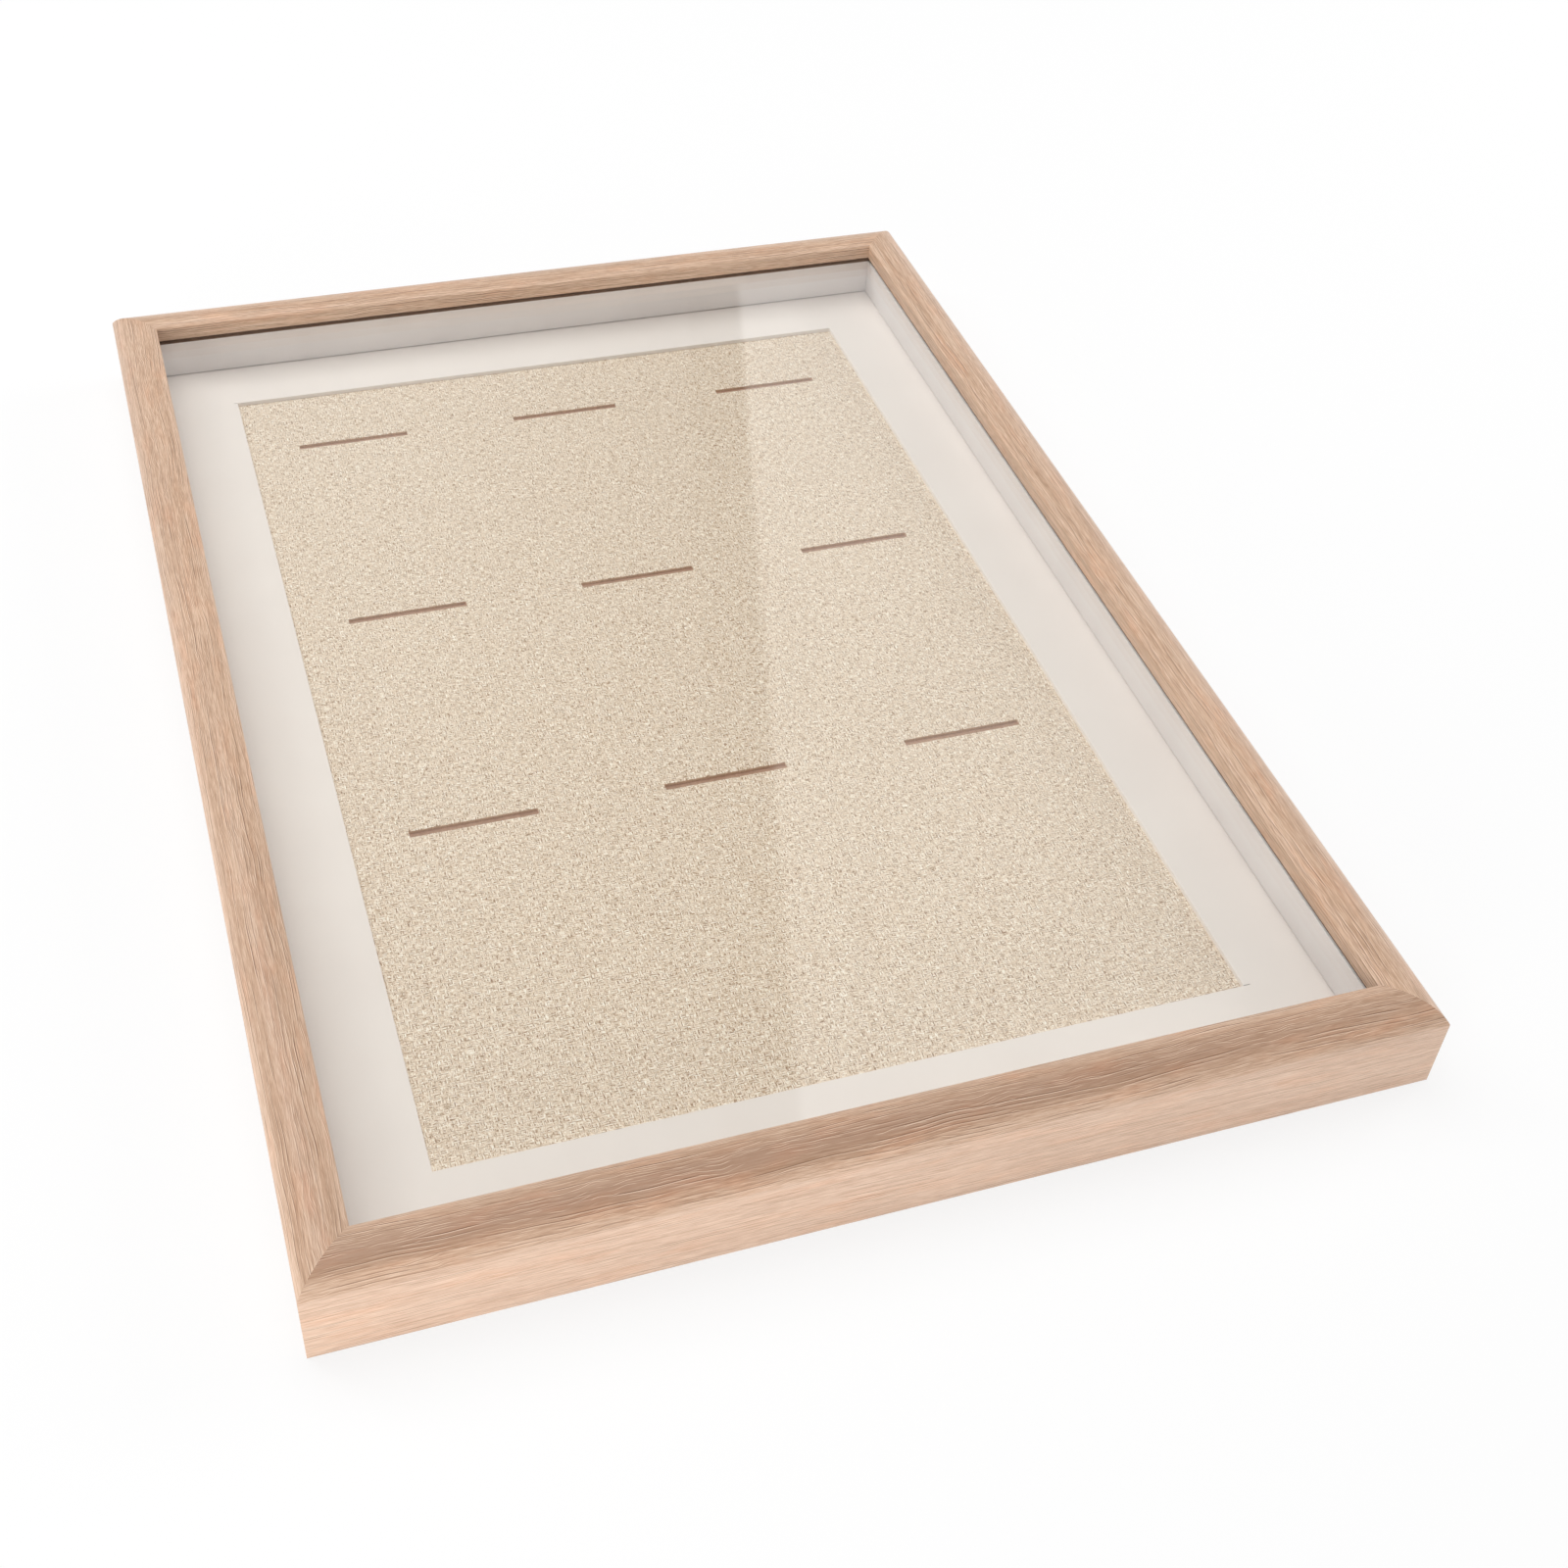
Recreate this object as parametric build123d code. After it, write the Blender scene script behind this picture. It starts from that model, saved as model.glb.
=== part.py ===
from build123d import *
from math import sqrt
import os

# Shadow-box display case for enamel pins and medals on ribbons.
# Four mitred mouldings hold a pane of glass against their lip. White spacer strips stand the
# glass off a window mat, behind which lie a slotted card and a fibreboard back panel.
# Turn buttons screwed to the mouldings close the back.
# The case lies on its back with the glass up. Millimetres. The origin is the centre of the
# footprint on the plane of the back rim: +X right, +Y towards the top rail, +Z out of the front.

# Frame, with insets measured from the outer face of a rail
frame_width = 300.0
frame_length = 422.0
rail_width = 14.6  # outer face to sight edge
stem_width = 9.6  # outer face to the wall of the rabbet
foot_width = 3.2  # rim that the case rests on
recess_depth = 3.0  # the back panel lies this far inside the rim
lip_underside = 22.3
crest_height = 28.4
crest_inset = 9.5
crown_radius = 11.0
shoulder_blend = 1.5  # softens the line where the crown leaves the flat side
nose_blend = 0.8  # softens the line where the crown meets the sight edge

# Sheets in the rabbet, counted from the back
sheet_play = 0.4  # gap round a loose sheet
back_thickness = 2.0
card_thickness = 1.0
mat_thickness = 1.4
spacer_gap = 0.2  # the spacers stop just short of the mat
glass_thickness = 1.5

# Window of the mat
window_width = 225.0
window_length = 346.4
window_offset = 0.5  # the mat's lower border is a little wider

# Slots of the card
slot_length = 37.9
slot_width = 2.4
slot_columns = 3
slot_rows = 3
column_pitch = 76.4
row_pitch = 99.1
slot_field_offset = 44.4  # the rows sit above the middle of the card

# Turn buttons and their screws
buttons_per_rail = 2
pivot_inset = (foot_width + stem_width) / 2
button_thickness = 0.8
button_radius = 3.0
button_tip_radius = 2.1
button_reach = 17.5  # pivot to the centre of the tip's round
button_gap = 0.2  # between the button and the ledge
rib_length = 9.0
rib_width = 2.4
rib_height = 0.35
rib_slope = 50.0
pivot_clearance = 0.05
screw_radius = 1.5
screw_length = 10.0
screw_tip = 3.0
head_radius = 2.8
head_height = 1.3
head_gap = 0.15  # between the screw head and the button
head_chamfer = 0.6
cross_width = 0.7
cross_reach = 3.0
cross_depth = 0.6
pilot_depth = 9.5

# V nails across the mitres
v_nail_height = 12.0
v_nail_leg = 4.4
v_nail_sheet = 0.5
v_nail_spread = 35.0  # angle from a leg to the mitre
v_nail_inset = 4.6

# Sawtooth hangers and their nails
hanger_length = 46.0
hanger_width = 9.0
hanger_sheet = 0.6
hanger_rise = 1.1  # the toothed middle stands this far off the panel
hanger_foot = 7.0
hanger_ramp = 2.0
hanger_corner = 1.5
hanger_margin = 26.0  # from the panel's edge
tooth_count = 13
tooth_pitch = 2.0
tooth_depth = 1.3
nail_radius = 0.6
nail_length = 1.6
nail_head_radius = 1.3
nail_head_height = 0.5

# Worked out from the above
sheet_width = frame_width - 2 * (stem_width + sheet_play)
sheet_length = frame_length - 2 * (stem_width + sheet_play)
card_bottom = recess_depth + back_thickness
mat_bottom = card_bottom + card_thickness
mat_top = mat_bottom + mat_thickness
spacer_bottom = mat_top + spacer_gap
spacer_top = lip_underside - glass_thickness
spacer_height = spacer_top - spacer_bottom
spacer_thickness = rail_width - stem_width
button_top = recess_depth - button_gap
screw_seat = button_top - button_thickness - head_gap

from_below = (Align.CENTER, Align.CENTER, Align.MIN)
from_above = (Align.CENTER, Align.CENTER, Align.MAX)

# Each rail: its length, and the place that turns a rail lying along X into it
rail_places = {
    "bottom": (frame_width, Pos(0, -frame_length / 2)),
    "right": (frame_length, Pos(frame_width / 2, 0) * Rot(0, 0, 90)),
    "top": (frame_width, Pos(0, frame_length / 2) * Rot(0, 0, 180)),
    "left": (frame_length, Pos(-frame_width / 2, 0) * Rot(0, 0, 270)),
}


def rail_section():
    """Moulding section: X is the inset from the outer face and Y is the height."""
    crown_centre = crest_height - crown_radius
    side_top = crown_centre + sqrt(crown_radius**2 - crest_inset**2)
    nose_top = crown_centre + sqrt(crown_radius**2 - (rail_width - crest_inset) ** 2)
    crown = ThreePointArc((0, side_top), (crest_inset, crest_height), (rail_width, nose_top))
    lip_stem_and_foot = Polyline(
        (rail_width, nose_top),
        (rail_width, lip_underside),
        (stem_width, lip_underside),
        (stem_width, recess_depth),
        (foot_width, recess_depth),
        (foot_width, 0),
        (0, 0),
        (0, side_top),
    )
    section = make_face(crown + lip_stem_and_foot)
    shoulder = section.vertices().sort_by_distance((0, side_top))[0]
    section = fillet(shoulder, shoulder_blend)
    nose = section.vertices().sort_by_distance((rail_width, nose_top))[0]
    return fillet(nose, nose_blend)


def rail(length):
    """A rail along X with its outer face on Y = 0, mitred at both ends."""
    bar = extrude(Plane.YZ * rail_section(), length / 2, both=True)
    between_mitres = Polygon(
        (-length / 2, 0),
        (length / 2, 0),
        (length / 2 - rail_width, rail_width),
        (rail_width - length / 2, rail_width),
        align=None,
    )
    return bar & extrude(between_mitres, 2 * crest_height)


def pivots(length):
    """Places of the turn-button pivots along a rail, at the height of the back rim."""
    spacing = length / buttons_per_rail
    first = (spacing - length) / 2
    return [Pos(first + i * spacing, pivot_inset) for i in range(buttons_per_rail)]


def screw():
    """Pan-head wood screw that points up, with its head's underside at Z = 0."""
    head = Cylinder(head_radius, head_height, align=from_above)
    head = chamfer(head.edges().sort_by(Axis.Z)[0], head_chamfer)
    for turn in (0, 90):
        cross_arm = Box(cross_reach, cross_width, cross_depth, align=from_below)
        head -= Pos(0, 0, -head_height) * Rot(0, 0, turn) * cross_arm
    shank = Cylinder(screw_radius, screw_length - screw_tip, align=from_below)
    tip = Cone(screw_radius, 0, screw_tip, align=from_below)
    return head + shank + Pos(0, 0, screw_length - screw_tip) * tip


def turn_button():
    """Stamped button along +X from its pivot, with its upper face at Z = 0."""
    pivot_end = Circle(button_radius)
    tip_end = Pos(button_reach, 0) * Circle(button_tip_radius)
    outline = make_hull(pivot_end.edges() + tip_end.edges())
    outline -= Circle(screw_radius + pivot_clearance)
    plate = extrude(outline, -button_thickness)
    lower_face = Pos(button_reach / 2, 0, -button_thickness) * Rot(180, 0, 0)
    rib = extrude(Rectangle(rib_length, rib_width), rib_height, taper=rib_slope)
    return plate + lower_face * rib


def v_nail():
    """Bent steel strip, point towards -X, standing up from Z = 0."""
    leg = Box(
        v_nail_leg, v_nail_sheet, v_nail_height, align=(Align.MIN, Align.CENTER, Align.MIN)
    )
    return Rot(0, 0, v_nail_spread) * leg + Rot(0, 0, -v_nail_spread) * leg


def corner_v_nails():
    """One nail across each mitre, driven in flush with the ledge."""
    nails = []
    for x_side, y_side, turn in ((-1, -1, 45), (1, -1, 135), (1, 1, 225), (-1, 1, 315)):
        corner_x = x_side * (frame_width / 2 - v_nail_inset)
        corner_y = y_side * (frame_length / 2 - v_nail_inset)
        nails.append(Pos(corner_x, corner_y, recess_depth) * Rot(0, 0, turn) * v_nail())
    return nails


def spacer(length):
    """White strip along X under the glass, with its outer face on the rabbet's wall."""
    return Pos(0, stem_width, spacer_bottom) * Box(
        length, spacer_thickness, spacer_height, align=(Align.CENTER, Align.MIN, Align.MIN)
    )


def sheet(thickness, bottom):
    """A loose sheet that fills the rabbet."""
    return Pos(0, 0, bottom) * Box(sheet_width, sheet_length, thickness, align=from_below)


def window_mat():
    """Mat board with its window cut square to the face."""
    window = Box(window_width, window_length, mat_thickness, align=from_below)
    return sheet(mat_thickness, mat_bottom) - Pos(0, window_offset, mat_bottom) * window


def slotted_insert():
    """Card with three rows of slots for ribbons, clasps and pin posts."""
    field = Pos(0, slot_field_offset, card_bottom)
    slots = field * GridLocations(column_pitch, row_pitch, slot_columns, slot_rows)
    card = sheet(card_thickness, card_bottom)
    for place in slots:
        card -= place * Box(slot_length, slot_width, card_thickness, align=from_below)
    return card


def sawtooth_hanger():
    """Hanger along X on a face that looks down from Z = 0, with its teeth towards -Y."""
    foot_end = hanger_length / 2 - hanger_foot
    ramp_end = foot_end - hanger_ramp
    half_view = Polygon(
        (0, -hanger_rise),
        (ramp_end, -hanger_rise),
        (foot_end, 0),
        (hanger_length / 2, 0),
        (hanger_length / 2, -hanger_sheet),
        (foot_end, -hanger_sheet),
        (ramp_end, -hanger_rise - hanger_sheet),
        (0, -hanger_rise - hanger_sheet),
        align=None,
    )
    side_view = half_view + mirror(half_view, Plane.YZ)
    strip = extrude(Plane.XZ * side_view, hanger_width / 2, both=True)
    strip = fillet(strip.edges().filter_by(Axis.Z), hanger_corner)
    notch = Polygon((-tooth_pitch / 2, 0), (tooth_pitch / 2, 0), (0, tooth_depth), align=None)
    cutter = extrude(notch, -2 * (hanger_rise + hanger_sheet))
    for place in GridLocations(tooth_pitch, 1, tooth_count, 1):
        strip -= Pos(0, -hanger_width / 2) * place * cutter
    for place in hanger_nail_places():
        strip -= place * Cylinder(nail_radius, nail_length, align=from_below)
    return strip


def hanger_nail_places():
    """The undersides of a hanger's two feet."""
    spacing = hanger_length - hanger_foot
    return [Pos(side * spacing / 2, 0, -hanger_sheet) for side in (-1, 1)]


def hanger_nails():
    """Flat-head nails that hold both hangers to the back panel."""
    head = Cylinder(nail_head_radius, nail_head_height, align=from_above)
    nail = head + Cylinder(nail_radius, nail_length + hanger_sheet, align=from_below)
    return [hanger * place * nail for hanger in hanger_places for place in hanger_nail_places()]


# Hangers for upright and for sideways hanging, on the outer face of the back panel
hanger_places = (
    Pos(0, sheet_length / 2 - hanger_margin, recess_depth),
    Pos(hanger_margin - sheet_width / 2, 0, recess_depth) * Rot(0, 0, 90),
)

nodes = {}

v_nails = corner_v_nails()
screws = []
for side, (length, place) in rail_places.items():
    shaped_rail = place * rail(length)
    for number, pivot in enumerate(pivots(length), start=1):
        screws.append(place * pivot * Pos(0, 0, screw_seat) * screw())
        pilot_hole = Cylinder(screw_radius, pilot_depth, align=from_below)
        shaped_rail -= place * pivot * Pos(0, 0, recess_depth) * pilot_hole
        button = place * pivot * Pos(0, 0, button_top) * turn_button()
        nodes[f"turn_button_{side}_{number}"] = button
    for nail in v_nails:
        shaped_rail -= nail
    nodes[f"rail_{side}"] = shaped_rail
nodes["turn_button_screws"] = Compound(children=screws)
nodes["corner_v_nails"] = Compound(children=v_nails)

# The strips along the short rails run through, and the long ones butt against them.
for side, (length, place) in rail_places.items():
    runs_through = side in ("bottom", "top")
    strip_length = length - 2 * (stem_width if runs_through else rail_width)
    nodes[f"spacer_{side}"] = place * spacer(strip_length)

nodes["front_glass"] = sheet(glass_thickness, spacer_top)
nodes["window_mat"] = window_mat()
nodes["slotted_insert"] = slotted_insert()

back_panel = sheet(back_thickness, recess_depth)
nails = hanger_nails()
for nail in nails:
    back_panel -= nail
nodes["back_panel"] = back_panel
nodes["sawtooth_hanger_portrait"] = hanger_places[0] * sawtooth_hanger()
nodes["sawtooth_hanger_landscape"] = hanger_places[1] * sawtooth_hanger()
nodes["hanger_nails"] = Compound(children=nails)

os.makedirs("parts", exist_ok=True)
for name, shape in nodes.items():
    export_step(shape, f"parts/{name}.step")
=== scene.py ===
import math

import bmesh
import bpy
from mathutils import Matrix, Vector


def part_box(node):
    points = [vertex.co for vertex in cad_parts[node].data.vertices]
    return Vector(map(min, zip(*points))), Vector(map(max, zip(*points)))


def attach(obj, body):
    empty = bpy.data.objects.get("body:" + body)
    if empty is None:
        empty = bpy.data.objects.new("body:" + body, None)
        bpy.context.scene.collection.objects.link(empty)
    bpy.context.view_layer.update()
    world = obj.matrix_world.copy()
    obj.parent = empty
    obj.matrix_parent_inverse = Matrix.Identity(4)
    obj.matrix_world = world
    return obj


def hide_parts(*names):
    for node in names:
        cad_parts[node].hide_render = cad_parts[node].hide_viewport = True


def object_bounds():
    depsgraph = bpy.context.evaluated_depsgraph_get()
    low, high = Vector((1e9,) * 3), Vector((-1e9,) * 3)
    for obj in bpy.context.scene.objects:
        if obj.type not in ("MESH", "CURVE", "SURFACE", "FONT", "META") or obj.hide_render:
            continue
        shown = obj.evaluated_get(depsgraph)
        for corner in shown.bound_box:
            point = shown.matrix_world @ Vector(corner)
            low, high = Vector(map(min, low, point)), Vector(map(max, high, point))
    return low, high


# Looks for a display case for enamel pins and medals: foil-wrapped mouldings with a pane,
# white spacer strips, a window mat, a slotted linen card and a fibreboard back.
# Metres. The case lies on its back rim on Z = 0, with the pane up and the top rail at +Y.

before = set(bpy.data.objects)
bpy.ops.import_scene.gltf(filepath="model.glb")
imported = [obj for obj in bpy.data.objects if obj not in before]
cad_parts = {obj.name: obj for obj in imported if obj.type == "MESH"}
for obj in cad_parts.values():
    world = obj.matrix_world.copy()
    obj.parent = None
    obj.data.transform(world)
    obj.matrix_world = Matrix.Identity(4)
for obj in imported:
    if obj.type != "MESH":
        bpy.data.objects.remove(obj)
cad_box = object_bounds()

MM = 0.001

# Sizes read from the frame
half_width, half_length = cad_box[1].x, cad_box[1].y
rail_low, rail_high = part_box("rail_left")
rail_width = rail_high.x - rail_low.x
crest_height = rail_high.z
stem_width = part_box("spacer_left")[0].x - rail_low.x
lip_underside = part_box("front_glass")[1].z
recess_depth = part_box("back_panel")[0].z

# Sizes of the moulding that its box doesn't give
foot_width = 3.2 * MM
crest_inset = 9.5 * MM
crown_radius = 11.0 * MM
shoulder_radius = 1.5 * MM
nose_radius = 0.8 * MM
shoulder_steps, crown_steps, nose_steps = 6, 44, 8
overrun = 1 * MM  # a rail is drawn this much too long at each end, and cut to its mitres

# Print of the foil, drawn in millimetres along a rail and round its section, from the outer
# edge of the rim. The rails' prints lie end to end, and the left rail's is the last.
print_pitch = 1.1
left_rail_print = 3 * print_pitch / MM
crown_foot = 21.4  # here the flat side turns into the crown

# Window of the mat
window_width = 225.0 * MM
window_length = 346.4 * MM
window_offset = 0.5 * MM

# Slots of the card
slot_length = 37.9 * MM
slot_width = 2.4 * MM
column_pitch = 76.4 * MM
row_pitch = 99.1 * MM
slot_field_offset = 44.4 * MM

# The white paper laps this far over the top edge of the long spacer strips
paper_lap = 0.8 * MM

# Eased edges
strip_arris = 0.2 * MM
mat_arris = 0.12 * MM
slot_arris = 0.2 * MM
board_arris = 0.3 * MM
metal_arris = 0.08 * MM
smooth_below = math.radians(30)  # faces that meet at less than this are shaded as one

# Camera
lens = 47.94
sensor_width = 36.0
camera_place = (-0.1502, -0.4825, 0.4368)
camera_turn = (46.284, -3.377, -18.405)
camera_shift = (-0.001375, -0.00069)


# ---------------------------------------------------------------- nodes


class Value:
    """One output of a node. Arithmetic on it adds Math nodes to the same tree."""

    def __init__(self, nodes, socket):
        self.nodes, self.socket = nodes, socket

    def math(self, operation, *terms):
        return self.nodes.add("ShaderNodeMath", {"operation": operation}, *terms)

    def __add__(self, other):
        return self.math("ADD", self, other)

    def __sub__(self, other):
        return self.math("SUBTRACT", self, other)

    def __rsub__(self, other):
        return self.math("SUBTRACT", other, self)

    def __mul__(self, other):
        return self.math("MULTIPLY", self, other)

    def __truediv__(self, other):
        return self.math("DIVIDE", self, other)

    def __pow__(self, other):
        return self.math("POWER", self, other)

    def __abs__(self):
        return self.math("ABSOLUTE", self)

    def whole(self):
        return self.math("FLOOR", self)

    def fold(self, reach):
        """Runs up to the reach and back to 0, over and over."""
        return self.math("PINGPONG", self, reach)

    def larger(self, other):
        return self.math("MAXIMUM", self, other)

    __radd__ = __add__
    __rmul__ = __mul__


class Nodes:
    """A node tree, and the patterns that are built in it."""

    def __init__(self, tree):
        self.tree = tree
        tree.nodes.clear()

    def add(self, kind, settings=None, *values, out=0, **sockets):
        """A node of this kind: settings first, then its sockets in order or by name."""
        node = self.tree.nodes.new(kind)
        for name, setting in (settings or {}).items():
            if name == "stops":
                self.set_stops(node.color_ramp, setting)
            else:
                setattr(node, name, setting)
        named = {name.replace("_", " "): value for name, value in sockets.items()}
        for key, value in (*enumerate(values), *named.items()):
            self.feed(node.inputs[key], value)
        return Value(self, node.outputs[out]) if len(node.outputs) else node

    def feed(self, socket, value):
        """Links a value to a socket or sets it there. A colour may leave out its alpha."""
        if isinstance(value, Value):
            self.tree.links.new(value.socket, socket)
        elif socket.type == "RGBA":
            socket.default_value = (*value[:3], 1)
        else:
            socket.default_value = value

    @staticmethod
    def set_stops(ramp, stops):
        """Colour stops of a ramp, each a position and a colour."""
        while len(ramp.elements) < len(stops):
            ramp.elements.new(1.0)
        for element, (position, colour) in zip(ramp.elements, stops):
            element.position = position
            element.color = (*colour, 1)

    def place(self, output, scale):
        """Coordinates on the piece, in metres at a scale of 1."""
        where = self.add("ShaderNodeTexCoord", out={"UV": 2, "Object": 3}[output])
        scale = scale if isinstance(scale, tuple) else (scale,) * 3
        return self.add("ShaderNodeMapping", {"vector_type": "POINT"}, where, Scale=scale)

    def parts(self, vector):
        """The three components of a vector."""
        split = self.add("ShaderNodeSeparateXYZ", None, vector).socket.node
        return [Value(self, output) for output in split.outputs]

    def point(self, x, y, z=0.0):
        return self.add("ShaderNodeCombineXYZ", None, x, y, z)

    def noise(self, vector, detail=2.0, roughness=0.5):
        return self.add(
            "ShaderNodeTexNoise", {"noise_dimensions": "3D"},
            Vector=vector, Scale=1.0, Detail=detail, Roughness=roughness,
        )

    def grain(self, size, detail, roughness):
        """Noise through the piece, in lumps of this size."""
        return self.noise(self.place("Object", 1 / size), detail, roughness)

    def step(self, value, low, high):
        """0 below low, 1 above high, and smooth in between."""
        settings = {"interpolation_type": "SMOOTHSTEP", "clamp": True}
        return self.add("ShaderNodeMapRange", settings, value, low, high, 0.0, 1.0)

    def band(self, value, rise, fall):
        """1 between two soft edges, each given by where it starts and ends."""
        return self.step(value, *rise) * (1 - self.step(value, *fall))

    def ramp(self, value, *stops):
        return self.add("ShaderNodeValToRGB", {"stops": stops}, value)

    def blend(self, share, first, second, how="MIX"):
        """Colours mixed: the share of the second goes over the first."""
        settings = {"data_type": "RGBA", "blend_type": how}
        mixed = self.add("ShaderNodeMix", settings, share, out=2)
        colour_sockets = mixed.socket.node.inputs[6:8]
        for socket, colour in zip(colour_sockets, (first, second)):
            self.feed(socket, colour)
        return mixed

    def relief(self, height, depth):
        """A bump of this depth, in metres, where the height is 1."""
        return self.add("ShaderNodeBump", None, Height=height, Distance=depth, Strength=1.0)

    def shown(self):
        """1 on the camera's rays, also off gloss and through glass, and 0 on the rest."""
        rays = self.add("ShaderNodeLightPath").socket.node.outputs
        camera, gloss, glass = (
            Value(self, rays[f"Is {ray} Ray"]) for ray in ("Camera", "Glossy", "Transmission")
        )
        return camera.larger(gloss).larger(glass)


class Finish(Nodes):
    """A material, and the nodes that give it its pattern."""

    def __init__(self, name):
        self.material = bpy.data.materials.new(name)
        self.material.use_nodes = True
        super().__init__(self.material.node_tree)

    def surface(self, **sockets):
        """Ends the finish with a Principled shader."""
        return self.end(self.add("ShaderNodeBsdfPrincipled", None, **sockets))

    def end(self, shader):
        self.add("ShaderNodeOutputMaterial", None, Surface=shader)
        return self.material


def linear(red, green, blue):
    """A colour written as it looks, 0 to 255, as the values that a shader takes."""
    return tuple(
        (c / 255 / 12.92) if c <= 10 else ((c / 255 + 0.055) / 1.055) ** 2.4
        for c in (red, green, blue)
    )


# ---------------------------------------------------------------- finishes


def pore_lines(f, u, v, spacing, width, seed):
    """Long fine pores in rows along the moulding: a dark groove, part print and part painted
    shade, and a painted highlight on the edge below it.
    """
    sway = f.noise(f.point(u / 55, v / 45, seed), detail=2.0, roughness=0.6)
    row = (v + sway * 5.0) / spacing
    number = row.whole()
    chance = f.add("ShaderNodeTexWhiteNoise", {"noise_dimensions": "1D"}, W=number + seed)
    place = (row - number - 0.2 - 0.6 * chance) * spacing
    length = f.noise(f.point(u / 24, number * 5.3, seed), detail=1.0)
    there = f.step(length, 0.46, 0.60)
    groove = 1 - f.step(abs(place), width * 0.4, width)
    # a painted highlight on the edge below each groove
    edge = 1 - f.step(abs(place + 1.7 * width), width * 0.3, width * 0.9)
    share = there * (0.3 + 0.7 * chance)
    return groove * share, edge * share


def painted_shade_by_rail(f, u, v, on_crown, colour):
    """Slower changes of tone over the foil's crowns: painted shade on the lower rail's crown,
    where little light falls from the front; a crown darker toward the left rail's lower end; and
    a lighter band toward the sight edge.
    """
    # painted shade: the lower rail's crown is darker, most of all on its shoulder
    past_lower_rail = f.step(u, 200, 300)
    deep = f.band(v, (crown_foot + 4, crown_foot + 9), (crown_foot + 10, crown_foot + 16))
    deep = deep * (1 - 0.5 * f.step(u, 40, 150))
    darker = on_crown * (1 - past_lower_rail) * (0.22 + deep * 0.55)
    # and the left rail's crown is darker toward its lower end
    lower_end = on_crown * f.step(u, left_rail_print + 20, left_rail_print + 150)
    colour = f.blend(darker + lower_end * 0.2, colour, linear(143, 111, 89))
    sight_edge = f.step(v, crown_foot + 13, crown_foot + 18)
    return f.blend(0.14 * sight_edge, colour, linear(226, 198, 176))


def oak_foil():
    """Limed-oak print on foil, embossed with pores that run along the moulding, with painted
    light and shade over it: a lighter upright side, a darker crown on the lower rail, and a
    painted highlight under each pore.
    """
    f = Finish("oak_foil")
    u, v, _ = f.parts(f.place("UV", 1 / MM))
    sway = f.noise(f.point(u / 75, v / 30), detail=1.0) - 0.5
    run = v + sway * 1.8
    broad = f.noise(f.point(u / 90, run / 3.2), detail=2.0, roughness=0.6)
    streaks = f.noise(f.point(u / 22, run / 0.5), detail=3.0, roughness=0.75)
    fibres = f.noise(f.point(u / 5, run / 0.3), detail=2.0, roughness=0.7)
    tone = broad * 0.2 + streaks * 0.4 + fibres * 0.4
    crown = f.ramp(
        tone,
        (0.40, linear(154, 121, 94)),
        (0.50, linear(186, 153, 127)),
        (0.60, linear(210, 181, 157)),
    )
    # painted light: the upright side is painted lighter than the crown, as if lit from the pale
    # floor below
    flank_painted_lighter = f.ramp(
        tone,
        (0.40, linear(194, 160, 135)),
        (0.50, linear(214, 182, 158)),
        (0.60, linear(227, 199, 177)),
    )
    on_crown = f.step(v, crown_foot - 1.0, crown_foot + 7.0)
    colour = painted_shade_by_rail(f, u, v, on_crown, f.blend(on_crown, flank_painted_lighter, crown))
    patch = f.step(f.noise(f.point(u / 25, v / 6, 5.0), detail=2.0, roughness=0.6), 0.45, 0.75)
    colour = f.blend(patch * 0.3, colour, linear(226, 180, 160), "SOFT_LIGHT")
    groove, edge = pore_lines(f, u, v, spacing=0.95, width=0.14, seed=3.0)
    short_groove, short_highlight = pore_lines(f, u * 3.2, v, spacing=0.55, width=0.12, seed=11.0)
    strength = 0.5 + 0.5 * on_crown
    # the pores' dark grooves are part print and part painted shade; their lower edges get a
    # painted highlight
    colour = f.blend(short_groove * strength * 0.7, colour, linear(146, 110, 82))
    colour = f.blend(short_highlight * 0.45, colour, linear(246, 222, 200))
    colour = f.blend(groove * strength, colour, linear(100, 68, 46))
    colour = f.blend(edge * strength * 0.6, colour, linear(242, 217, 195))
    # the crest of the left rail is rubbed glossier toward its lower end
    crest = f.band(v, (crown_foot + 7, crown_foot + 10), (crown_foot + 11, crown_foot + 15))
    rubbed = crest * f.step(u, left_rail_print - 50, left_rail_print + 100)
    return f.surface(
        Base_Color=colour,
        Roughness=0.42 + groove * 0.2 + fibres * 0.1,
        Coat_Weight=0.3 + 0.7 * rubbed, Coat_Roughness=0.25,
        Normal=f.relief(streaks * 0.3 - groove - short_groove * 0.5, 0.04 * MM),
    )


def moulding_core():
    """Raw fibreboard of the moulding, seen in the rabbet and on the ledge."""
    f = Finish("moulding_core")
    fleck = f.grain(MM / 1.6, 4.0, 0.7)
    colour = f.ramp(fleck, (0.3, linear(150, 118, 90)), (0.7, linear(196, 166, 132)))
    return f.surface(Base_Color=colour, Roughness=0.9, Normal=f.relief(fleck, 0.15 * MM))


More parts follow.
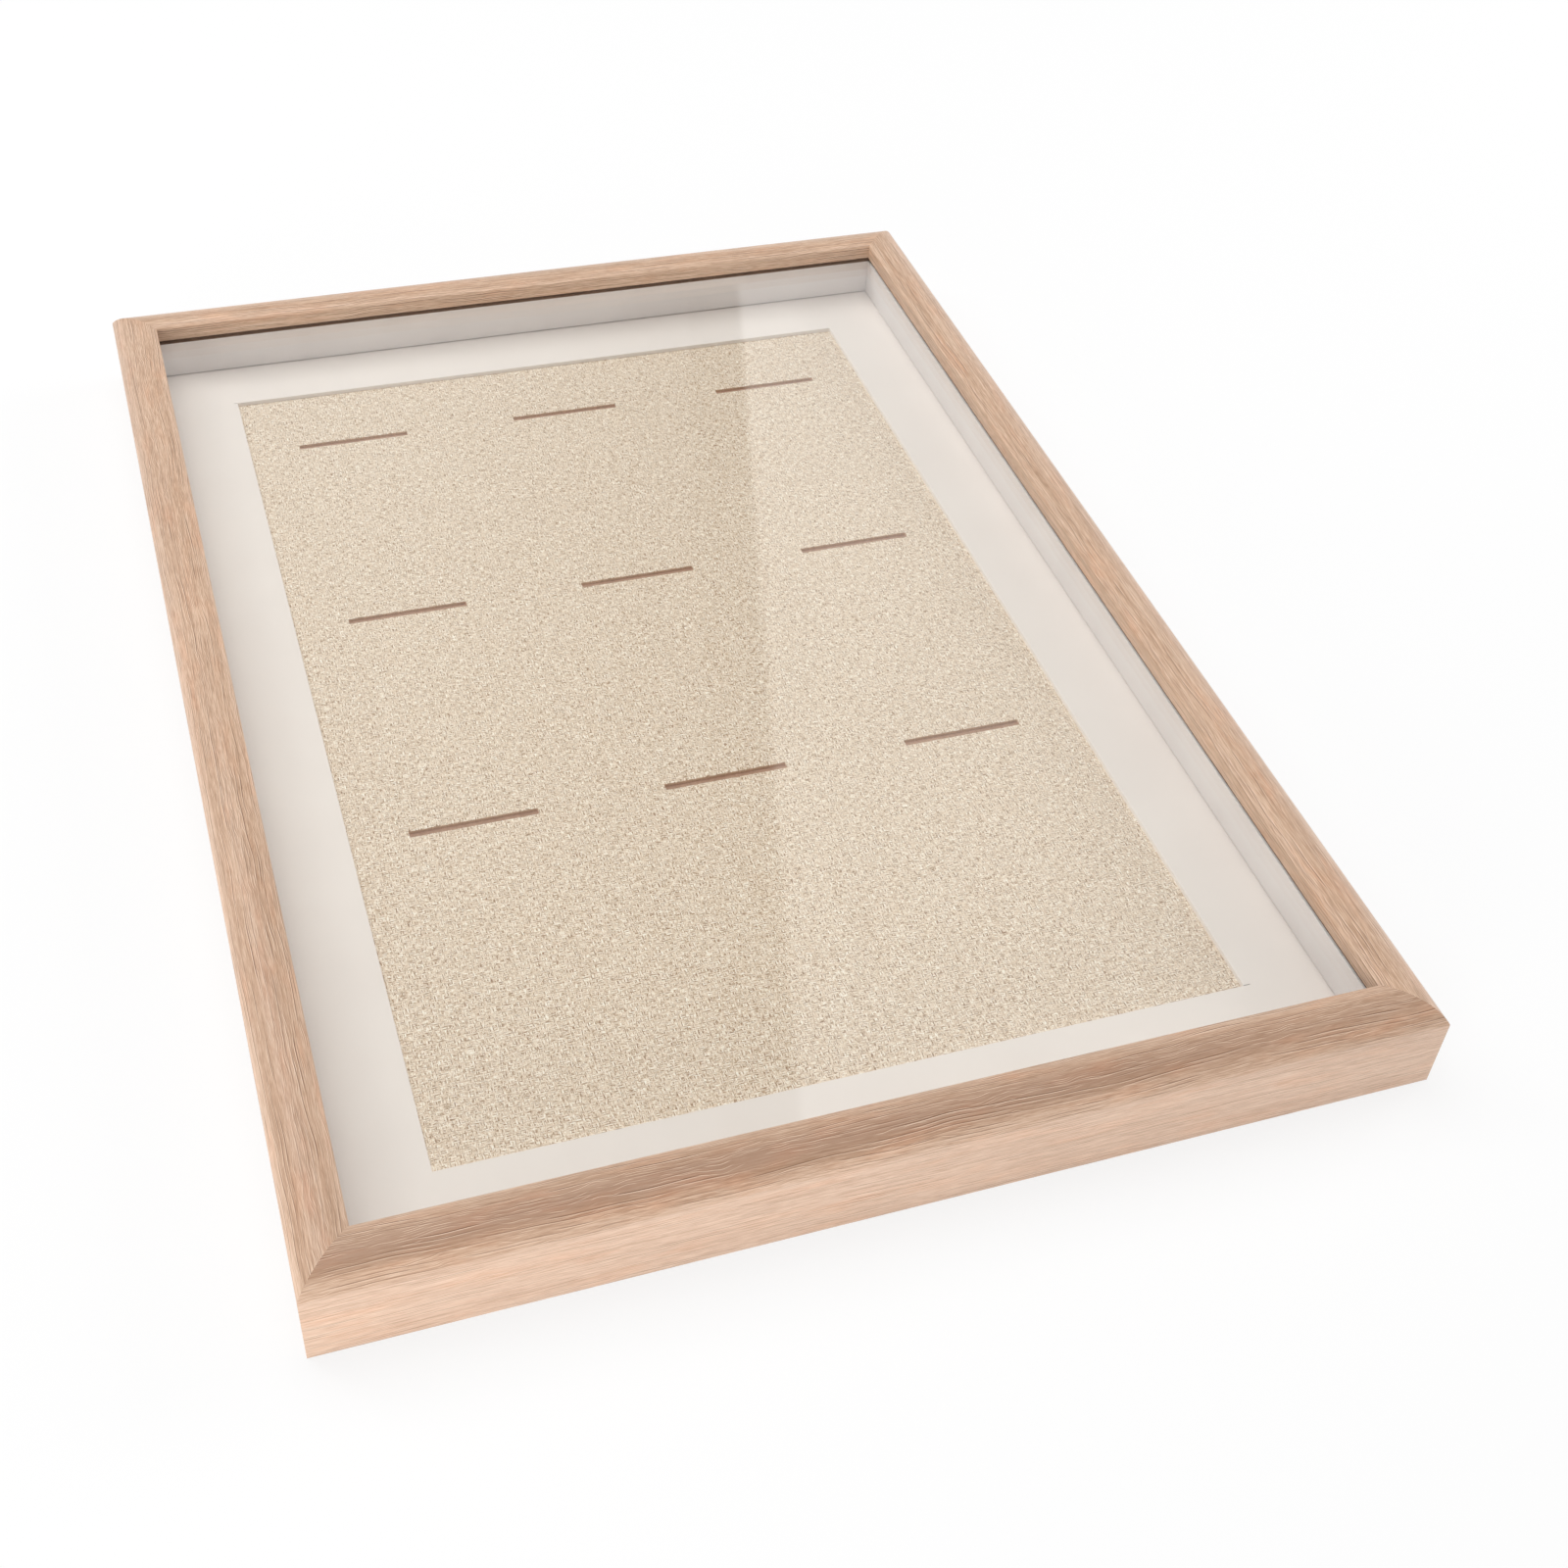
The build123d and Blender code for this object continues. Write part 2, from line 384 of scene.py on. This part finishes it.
def linen_paper():
    """Linen-look paper: short cream threads both ways, with gold-brown pits between them."""
    f = Finish("linen_paper")
    x, y, _ = f.parts(f.place("Object", 1 / MM))
    drift = f.noise(f.point(x / 30, y / 30), detail=2.0) - 0.5
    warp = x + drift * 3.0
    weft = y + drift * -2.0
    upright = f.noise(f.point(warp / 0.2, weft / 2.0), detail=1.0, roughness=0.6)
    level = f.noise(f.point(warp / 2.2, weft / 0.2, 40.0), detail=1.0, roughness=0.6)
    chosen = f.step(f.noise(f.point(warp / 1.0, weft / 1.0, 80.0), detail=1.0), 0.46, 0.54)
    thread = upright * chosen + level * (1 - chosen)
    grid = (warp / 0.9).fold(0.5) * chosen + (weft / 0.74).fold(0.5) * (1 - chosen)
    grit = f.noise(f.point(x / 0.22, y / 0.22), detail=1.0, roughness=0.7)
    patch = f.noise(f.point(x / 8, y / 8, 9.0), detail=3.0, roughness=0.7)
    height = thread * 0.7 + grit * 0.18 + grid * 0.14 + (patch - 0.5) * 0.03
    colour = f.ramp(
        height,
        (0.37, linear(150, 116, 88)),
        (0.44, linear(215, 189, 163)),
        (0.50, linear(238, 219, 199)),
        (0.59, linear(255, 248, 238)),
    )
    return f.surface(Base_Color=colour, Roughness=0.85, Normal=f.relief(height, 0.2 * MM))


def cut_board(name, dark, light):
    """Cut edge of a brown board."""
    f = Finish(name)
    fleck = f.grain(0.5 * MM, 3.0, 0.7)
    colour = f.ramp(fleck, (0.3, dark), (0.7, light))
    return f.surface(Base_Color=colour, Roughness=0.9, Normal=f.relief(fleck, 0.1 * MM))


def overcut(f, x, y, start, reach, edge):
    """A knife's hairline that runs on past a corner of the window."""
    length = abs(reach) / MM
    past = (x - start / MM) * math.copysign(1.0, reach)
    across = y - edge / MM
    along = f.band(past, (-0.1, 0.1), (length - 0.8, length))
    return along * (1 - f.step(abs(across), 0.06, 0.20))


def mat_paper():
    """Smooth off-white facing of the window mat, with the cutter's overruns at two corners."""
    f = Finish("mat_paper")
    x, y, _ = f.parts(f.place("Object", 1 / MM))
    tooth = f.grain(0.5 * MM, 4.0, 0.7)
    cloud = f.grain(30 * MM, 2.0, 0.5)
    tone = tooth * 0.5 + cloud * 0.5
    colour = f.ramp(tone, (0.3, linear(231, 220, 214)), (0.7, linear(237, 227, 221)))
    far_edge = window_offset + window_length / 2
    near_edge = window_offset - window_length / 2
    cuts = overcut(f, x, y, window_width / 2, 2.4 * MM, near_edge)
    cuts = cuts + overcut(f, x, y, -window_width / 2, -1.8 * MM, far_edge)
    colour = f.blend(cuts * 0.8, colour, linear(120, 104, 94))
    return f.surface(
        Base_Color=colour, Roughness=0.9, Normal=f.relief(tooth * 0.2 - cuts, 0.1 * MM)
    )


def mat_core():
    """Core of the mat, on the cut of its window."""
    f = Finish("mat_core")
    tooth = f.grain(0.3 * MM, 3.0, 0.7)
    colour = f.ramp(tooth, (0.3, linear(236, 226, 219)), (0.7, linear(246, 238, 232)))
    return f.surface(Base_Color=colour, Roughness=0.95, Normal=f.relief(tooth, 0.05 * MM))


def strip_paper():
    """White paper round the spacer strips."""
    f = Finish("strip_paper")
    tooth = f.grain(0.6 * MM, 3.0, 0.7)
    cloud = f.grain(18 * MM, 2.0, 0.5)
    tone = tooth * 0.4 + cloud * 0.6
    colour = f.ramp(tone, (0.3, linear(230, 224, 223)), (0.7, linear(238, 233, 232)))
    return f.surface(Base_Color=colour, Roughness=0.75, Normal=f.relief(tooth, 0.02 * MM))


def hardboard():
    """Brown fibreboard of the back panel."""
    f = Finish("hardboard")
    fleck = f.grain(MM / 1.1, 5.0, 0.75)
    cloud = f.grain(40 * MM, 3.0, 0.6)
    colour = f.ramp(
        fleck * 0.75 + cloud * 0.25,
        (0.32, linear(151, 116, 96)),
        (0.50, linear(175, 139, 118)),
        (0.68, linear(194, 160, 138)),
    )
    return f.surface(Base_Color=colour, Roughness=0.8, Normal=f.relief(fleck, 0.08 * MM))


def plated_metal(name, dark, light, roughness):
    """Plated sheet steel with a faint mottle and rubbed spots."""
    f = Finish(name)
    mottle = f.grain(2.5 * MM, 4.0, 0.6)
    brushed = (1 / (0.15 * MM), 1 / (4 * MM), 1 / (0.4 * MM))
    scratches = f.noise(f.place("Object", brushed), 2.0, 0.6)
    return f.surface(
        Base_Color=f.ramp(mottle, (0.35, dark), (0.65, light)), Metallic=1.0,
        Roughness=roughness + mottle * 0.12 + scratches * 0.08,
        Normal=f.relief(scratches, 0.01 * MM),
    )


def clear_glass():
    """Float glass: clear, with the sheen of its faces."""
    f = Finish("clear_glass")
    facing = f.add("ShaderNodeLayerWeight", None, 0.5, out=1)
    sheen = 0.04 + 0.96 * facing ** 4
    through = f.add("ShaderNodeBsdfTransparent", None, Color=(0.985, 0.995, 0.99))
    gloss = f.add("ShaderNodeBsdfGlossy", None, Color=(1, 1, 1), Roughness=0.02)
    return f.end(f.add("ShaderNodeMixShader", None, sheen, through, gloss))


# ---------------------------------------------------------------- pieces


def new_object(name, bm, materials):
    """Puts a finished mesh into the scene, with its place in the mesh."""
    mesh = bpy.data.meshes.new(name)
    bm.to_mesh(mesh)
    bm.free()
    for material in materials:
        mesh.materials.append(material)
    made = bpy.data.objects.new(name, mesh)
    bpy.context.scene.collection.objects.link(made)
    return made


def finish_piece(bm, name, materials, body, replaced):
    """Turns a finished mesh into a piece that rides on a body and stands for CAD nodes."""
    for face in bm.faces:
        face.smooth = True
    for edge in bm.edges:
        edge.smooth = edge.calc_face_angle(0.0) < smooth_below
    piece = new_object(name, bm, materials)
    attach(piece, body)
    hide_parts(*replaced)


def new_verts(result):
    return [g for g in result["geom"] if isinstance(g, bmesh.types.BMVert)]


def cut_across(bm, point, normal, clear_outer=False):
    """Cuts a mesh along a plane, and returns the edges of the cut."""
    cut = bmesh.ops.bisect_plane(
        bm, geom=bm.verts[:] + bm.edges[:] + bm.faces[:],
        plane_co=point, plane_no=normal, clear_outer=clear_outer,
    )
    return [g for g in cut["geom_cut"] if isinstance(g, bmesh.types.BMEdge)]


def ease(bm, edges, arris, segments=2, material=-1):
    """Eases edges by a small bevel."""
    bmesh.ops.bevel(
        bm, geom=edges, offset=arris, segments=segments, profile=0.5,
        affect="EDGES", material=material, clamp_overlap=True,
    )


def rim_edges(bm, height):
    """The sharp edges that lie at this height."""
    return [
        edge for edge in bm.edges
        if edge.calc_face_angle(0.0) > 1
        and min(vert.co.z for vert in edge.verts) > height - MM / 10
    ]


def line_to(bm, pen, y, z):
    """Draws a straight stretch of a section from the pen, and returns its far end."""
    far = bmesh.ops.extrude_vert_indiv(bm, verts=[pen])["verts"][0]
    far.co = (pen.co.x, y, z)
    return far


def arc_to(bm, pen, centre_y, centre_z, angle, steps):
    """Turns the pen round a centre, and returns the arc's far end."""
    spun = bmesh.ops.spin(
        bm, geom=[pen], cent=(pen.co.x, centre_y, centre_z), axis=(1, 0, 0),
        angle=angle, steps=steps,
    )
    return [g for g in spun["geom_last"] if isinstance(g, bmesh.types.BMVert)][0]


def draw_section(bm, x):
    """Draws the moulding's section at x, clockwise from the outer edge of the rim."""
    crown_z = crest_height - crown_radius
    shoulder_z = crown_z + math.sqrt(
        (crown_radius - shoulder_radius) ** 2 - (crest_inset - shoulder_radius) ** 2
    )
    nose_y = rail_width - nose_radius
    nose_z = crown_z + math.sqrt((crown_radius - nose_radius) ** 2 - (nose_y - crest_inset) ** 2)
    shoulder_turn = math.atan2(shoulder_z - crown_z, crest_inset - shoulder_radius)
    nose_turn = math.atan2(nose_y - crest_inset, nose_z - crown_z)
    crown_turn = math.pi / 2 - shoulder_turn + nose_turn
    pen = bm.verts.new((x, 0, 0))
    pen = line_to(bm, pen, 0, shoulder_z)
    pen = arc_to(bm, pen, shoulder_radius, shoulder_z, -shoulder_turn, shoulder_steps)
    pen = arc_to(bm, pen, crest_inset, crown_z, -crown_turn, crown_steps)
    pen = arc_to(bm, pen, nose_y, nose_z, nose_turn - math.pi / 2, nose_steps)
    for y, z in (
        (rail_width, lip_underside), (stem_width, lip_underside), (stem_width, recess_depth),
        (foot_width, recess_depth), (foot_width, 0),
    ):
        pen = line_to(bm, pen, y, z)


def mark_girth(bm, around):
    """Marks each point of a section with its distance from the first, and returns the last."""
    girth, before = 0.0, None
    for here in bm.verts:
        girth += (here.co - before.co).length if before else 0.0
        here[around] = girth
        before = here
    return girth


def wrap_in_foil(bm, around, girth, print_start):
    """Lays the foil's print on a rail, and leaves the core bare inside the rabbet."""
    print_map = bm.loops.layers.uv.new("print")
    lip_edge = girth - (rail_width - foot_width + lip_underside)
    for face in bm.faces:
        furthest = max(vert[around] for vert in face.verts)
        if abs(face.normal.x) < 0.5:
            on_rim = face.normal.z < -0.5 and face.calc_center_median().z < recess_depth / 2
            face.material_index = 0 if on_rim or furthest < lip_edge + MM else 1
        for loop in face.loops:
            walk = loop.vert[around]
            if walk == 0.0 and furthest > girth - MM:
                walk = girth + foot_width
            loop[print_map].uv = (loop.vert.co.x + print_start, walk)


def moulding(side, length, place, number, foil, core):
    """A mitred rail, with its print running along it and round its section."""
    bm = bmesh.new()
    around = bm.verts.layers.float.new("around")
    draw_section(bm, -length / 2 - overrun)
    girth = mark_girth(bm, around)
    bm.verts.ensure_lookup_table()
    bm.edges.new((bm.verts[-1], bm.verts[0]))
    bmesh.ops.contextual_create(bm, geom=bm.edges[:])
    grown = bmesh.ops.extrude_face_region(bm, geom=bm.faces[:])
    bmesh.ops.translate(bm, vec=(length + 2 * overrun, 0, 0), verts=new_verts(grown))
    bmesh.ops.recalc_face_normals(bm, faces=bm.faces[:])
    wrap_in_foil(bm, around, girth, number * print_pitch)
    for end in (-1, 1):
        rim = cut_across(bm, (end * length / 2, 0, 0), (end, 1, 0), clear_outer=True)
        for face in bmesh.ops.contextual_create(bm, geom=rim)["faces"]:
            face.material_index = 1
    bmesh.ops.recalc_face_normals(bm, faces=bm.faces[:])
    bm.transform(place)
    finish_piece(
        bm, f"moulding_{side}", [foil, core], "frame", [f"rail_{side}"]
    )


def box_piece(low, high, arris):
    """A block between two corners, with every edge eased."""
    bm = bmesh.new()
    bmesh.ops.create_cube(bm, size=1.0)
    bmesh.ops.scale(bm, vec=high - low, verts=bm.verts)
    bmesh.ops.translate(bm, vec=(low + high) / 2, verts=bm.verts)
    ease(bm, bm.edges[:], arris)
    return bm


def spacer_strip(side, paper, board):
    """A strip of brown board with white paper down its sides, lapped over a long strip's edge."""
    low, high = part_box(f"spacer_{side}")
    bm = box_piece(low, high, strip_arris)
    lap_edge = {"left": high.x - paper_lap, "right": low.x + paper_lap}.get(side)
    if lap_edge is not None:
        cut_across(bm, (lap_edge, 0, 0), (1, 0, 0))
    for face in bm.faces:
        across = face.calc_center_median().x
        lapped = side == "left" and across > lap_edge or side == "right" and across < lap_edge
        face.material_index = 1 if abs(face.normal.z) > 0.9 and not lapped else 0
    finish_piece(
        bm, f"strip_{side}", [paper, board], "frame", [f"spacer_{side}"]
    )


def flat_sheet(size, place):
    """A level rectangle of this size, round a middle point."""
    bm = bmesh.new()
    bmesh.ops.create_grid(bm, x_segments=1, y_segments=1, size=0.5)
    bmesh.ops.scale(bm, vec=(*size, 1), verts=bm.verts)
    bmesh.ops.translate(bm, vec=place, verts=bm.verts)
    return bm


def footprint(low, high, z):
    """One face that fills a box's footprint, at this height."""
    return flat_sheet(
        (high.x - low.x, high.y - low.y), ((low.x + high.x) / 2, (low.y + high.y) / 2, z)
    )


def window_board(paper, core):
    """Mat board with its window cut square to the face."""
    low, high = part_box("window_mat")
    bm = footprint(low, high, low.z)
    window = bm.faces[:]
    border = 1 * MM
    bmesh.ops.inset_region(
        bm, faces=window, thickness=border, use_boundary=True, use_even_offset=True
    )
    inner = list(window[0].verts)
    shrink = Vector((
        window_width / (high.x - low.x - 2 * border),
        window_length / (high.y - low.y - 2 * border),
        1,
    ))
    bmesh.ops.scale(bm, vec=shrink, verts=inner)
    bmesh.ops.translate(bm, vec=(0, window_offset, 0), verts=inner)
    bmesh.ops.delete(bm, geom=window, context="FACES_ONLY")
    grown = bmesh.ops.extrude_face_region(bm, geom=bm.faces[:])
    bmesh.ops.translate(bm, vec=(0, 0, high.z - low.z), verts=new_verts(grown))
    bmesh.ops.recalc_face_normals(bm, faces=bm.faces[:])
    for face in bm.faces:
        face.material_index = 0 if abs(face.normal.z) > 0.9 else 1
    ease(bm, rim_edges(bm, high.z), mat_arris, material=0)
    finish_piece(
        bm, "window_board", [paper, core], "back_and_mat", ["window_mat"]
    )


def linen_card(paper, core):
    """Card cut through by three rows of slots, with the paper eased over their edges."""
    low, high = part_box("slotted_insert")
    bm = footprint(low, high, high.z)
    slots = [
        (column * column_pitch, slot_field_offset + row * row_pitch)
        for row in (-1, 0, 1) for column in (-1, 0, 1)
    ]
    for axis, size in ((0, slot_length), (1, slot_width)):
        for middle in sorted({slot[axis] for slot in slots}):
            for edge in (-1, 1):
                where, normal = [0, 0, 0], [0, 0, 0]
                where[axis], normal[axis] = middle + edge * size / 2, 1
                cut_across(bm, where, normal)
    opened = []
    for face in bm.faces:
        centre = face.calc_center_median()
        if any(
            abs(centre.x - x) < slot_length / 2 and abs(centre.y - y) < slot_width / 2
            for x, y in slots
        ):
            opened.append(face)
    bmesh.ops.delete(bm, geom=opened, context="FACES_ONLY")
    bmesh.ops.dissolve_limit(
        bm, angle_limit=0.01, verts=bm.verts[:], edges=bm.edges[:], use_dissolve_boundaries=False
    )
    grown = bmesh.ops.extrude_face_region(bm, geom=bm.faces[:])
    bmesh.ops.translate(bm, vec=(0, 0, low.z - high.z), verts=new_verts(grown))
    bmesh.ops.recalc_face_normals(bm, faces=bm.faces[:])
    for face in bm.faces:
        face.material_index = 0 if face.normal.z > 0.5 else 1
    slot_rims = [
        edge for edge in rim_edges(bm, high.z)
        if all(v.co.x - low.x > MM and high.x - v.co.x > MM for v in edge.verts)
    ]
    ease(bm, slot_rims, slot_arris, segments=4, material=0)
    finish_piece(
        bm, "linen_card", [paper, core], "back_and_mat", ["slotted_insert"]
    )


def back_board(material):
    bm = box_piece(*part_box("back_panel"), board_arris)
    finish_piece(
        bm, "back_board", [material], "back_and_mat", ["back_panel"]
    )


def eased_copy(node, name, material, body, arris):
    """A node's own solids, merged, with their sharp edges eased."""
    bm = bmesh.new()
    bm.from_mesh(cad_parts[node].data)
    bmesh.ops.remove_doubles(bm, verts=bm.verts, dist=0.001 * MM)
    bmesh.ops.dissolve_limit(
        bm, angle_limit=math.radians(1), verts=bm.verts[:], edges=bm.edges[:]
    )
    if arris:
        sharp = [e for e in bm.edges if e.calc_face_angle(0.0) > math.radians(40)]
        ease(bm, sharp, arris)
    finish_piece(bm, name, [material], body, [node])


# ---------------------------------------------------------------- setting


def make_camera():
    data = bpy.data.cameras.new("camera")
    data.lens, data.sensor_width = lens, sensor_width
    data.shift_x, data.shift_y = camera_shift
    camera = bpy.data.objects.new("camera", data)
    camera.location = camera_place
    camera.rotation_euler = [math.radians(a) for a in camera_turn]
    bpy.context.scene.collection.objects.link(camera)
    bpy.context.scene.camera = camera


def make_world(ambient):
    """White to the camera, off gloss and through glass, and a soft ambient light to the rest."""
    world = bpy.data.worlds.new("studio")
    bpy.context.scene.world = world
    world.use_nodes = True
    w = Nodes(world.node_tree)
    soft = w.add("ShaderNodeBackground", None, Color=(1, 1, 1), Strength=ambient)
    white = w.add("ShaderNodeBackground", None, Color=(1, 1, 1), Strength=1.0)
    mixed = w.add("ShaderNodeMixShader", None, w.shown(), soft, white)
    w.add("ShaderNodeOutputWorld", None, Surface=mixed)


def make_floor():
    """A plain pale floor that shows white and keeps a soft shadow."""
    f = Finish("pale_floor")
    x, y, _ = f.parts(f.place("Object", 1.0))
    # the shadow is kept round the case, and fades to plain white with distance
    far = f.step((x * x + y * y) ** 0.5, 0.5, 1.6)
    matt = f.add("ShaderNodeBsdfDiffuse", None, Color=(0.8, 0.8, 0.8))
    glow = f.add("ShaderNodeEmission", None, Color=(1, 1, 1), Strength=1.0)
    share = f.shown() * (0.8 + 0.2 * far)
    material = f.end(f.add("ShaderNodeMixShader", None, share, matt, glow))
    floor = new_object("floor", flat_sheet((8.0, 8.0), (0, 0, 0)), [material])


def make_lamp(name, place, size, power, target=(0, 0, 0)):
    """A square soft light that the pane doesn't mirror."""
    data = bpy.data.lights.new(name, "AREA")
    data.shape, data.size, data.energy = "SQUARE", size, power
    lamp = bpy.data.objects.new(name, data)
    lamp.location = place
    lamp.rotation_euler = (Vector(target) - Vector(place)).to_track_quat("-Z", "Y").to_euler()
    bpy.context.scene.collection.objects.link(lamp)
    lamp.visible_glossy = False


def make_mirrored_room():
    """Painted reflection for the pane: a glowing sheet that only gloss rays see, showing a dim
    room overhead up to the straight edge of a bright wall.
    """
    f = Finish("mirrored_room")
    x, y, _ = f.parts(f.place("Object", 1.0))
    wall_x, wall_y = 0.313, 0.638  # a point on the wall's edge
    slope = 0.272  # how far the edge runs sideways for each metre away
    off = ((x - wall_x) - slope * (y - wall_y)) * (1 / math.hypot(1, slope))
    wall = f.step(off, -0.006, 0.006)
    gap = f.step(off, -0.070, -0.062)  # a dark strip before the wall
    room = 0.14 + 0.4 * f.step(-1 * off, 0.0, 0.45)
    dim = 0.05 * gap + room * (1 - gap)
    light = dim * (1 - wall) + wall * 0.8
    black = f.add("ShaderNodeEmission", None, Color=(0, 0, 0), Strength=1.0)
    white = f.add("ShaderNodeEmission", None, Color=(1, 1, 1), Strength=1.0)
    material = f.end(f.add("ShaderNodeMixShader", None, light, black, white))
    room = new_object("mirrored_room", flat_sheet((1.6, 2.2), (0.35, 1.2, 1.0)), [material])
    room.visible_camera = room.visible_diffuse = room.visible_shadow = False
    room.visible_transmission = room.visible_volume_scatter = False


# ---------------------------------------------------------------- the case


def rail_place(x, y, quarter_turns):
    """Takes a rail that lies along X to its side of the case."""
    turn = Matrix.Rotation(quarter_turns * math.pi / 2, 4, "Z")
    return Matrix.Translation((x, y, 0)) @ turn


rails = {
    "bottom": (2 * half_width, rail_place(0, -half_length, 0)),
    "right": (2 * half_length, rail_place(half_width, 0, 1)),
    "top": (2 * half_width, rail_place(0, half_length, 2)),
    "left": (2 * half_length, rail_place(-half_width, 0, -1)),
}
foil, core = oak_foil(), moulding_core()
white_paper = strip_paper()
strip_board = cut_board("strip_board", linear(136, 106, 90), linear(176, 146, 128))
# painted light: the card's cut board is painted lighter than the strip board, to make up for the
# shade inside the slots
card_core_painted_lighter = cut_board("card_core_painted_lighter", linear(192, 158, 132), linear(236, 206, 180))
for number, (side, (length, place)) in enumerate(rails.items()):
    moulding(side, length, place, number, foil, core)
    spacer_strip(side, white_paper, strip_board)
window_board(mat_paper(), mat_core())
linen_card(linen_paper(), card_core_painted_lighter)
back_board(hardboard())
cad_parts["front_glass"].data.materials.clear()
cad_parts["front_glass"].data.materials.append(clear_glass())

zinc = plated_metal("zinc_plate", linear(168, 172, 176), linear(206, 208, 210), 0.28)
steel = plated_metal("bright_steel", linear(176, 176, 178), linear(210, 210, 210), 0.3)
brass = plated_metal("brass_plate", linear(190, 160, 96), linear(222, 194, 130), 0.25)
for side in rails:
    for number in (1, 2):
        node = f"turn_button_{side}_{number}"
        eased_copy(node, f"button_{side}_{number}", zinc, node, metal_arris)
eased_copy("turn_button_screws", "button_screws", zinc, "frame", 0.0)
eased_copy("corner_v_nails", "mitre_nails", steel, "frame", 0.0)
for way in ("portrait", "landscape"):
    eased_copy(
        f"sawtooth_hanger_{way}", f"hanger_{way}", brass, "back_and_mat",
        metal_arris,
    )
eased_copy("hanger_nails", "panel_nails", brass, "back_and_mat", 0.0)

make_camera()
make_floor()
make_world(ambient=0.35)
make_mirrored_room()
make_lamp("key", place=(-0.3, 0.4, 1.5), size=1.4, power=18)
make_lamp("window", place=(-0.95, 0.8, 1.0), size=0.4, power=4)
make_lamp("left", place=(-0.6, -0.85, 0.13), size=0.45, power=7, target=(-0.05, -0.2, 0))
make_lamp("right", place=(1.5, 0.2, 0.6), size=0.9, power=12)
bpy.context.scene.view_settings.view_transform = "Standard"
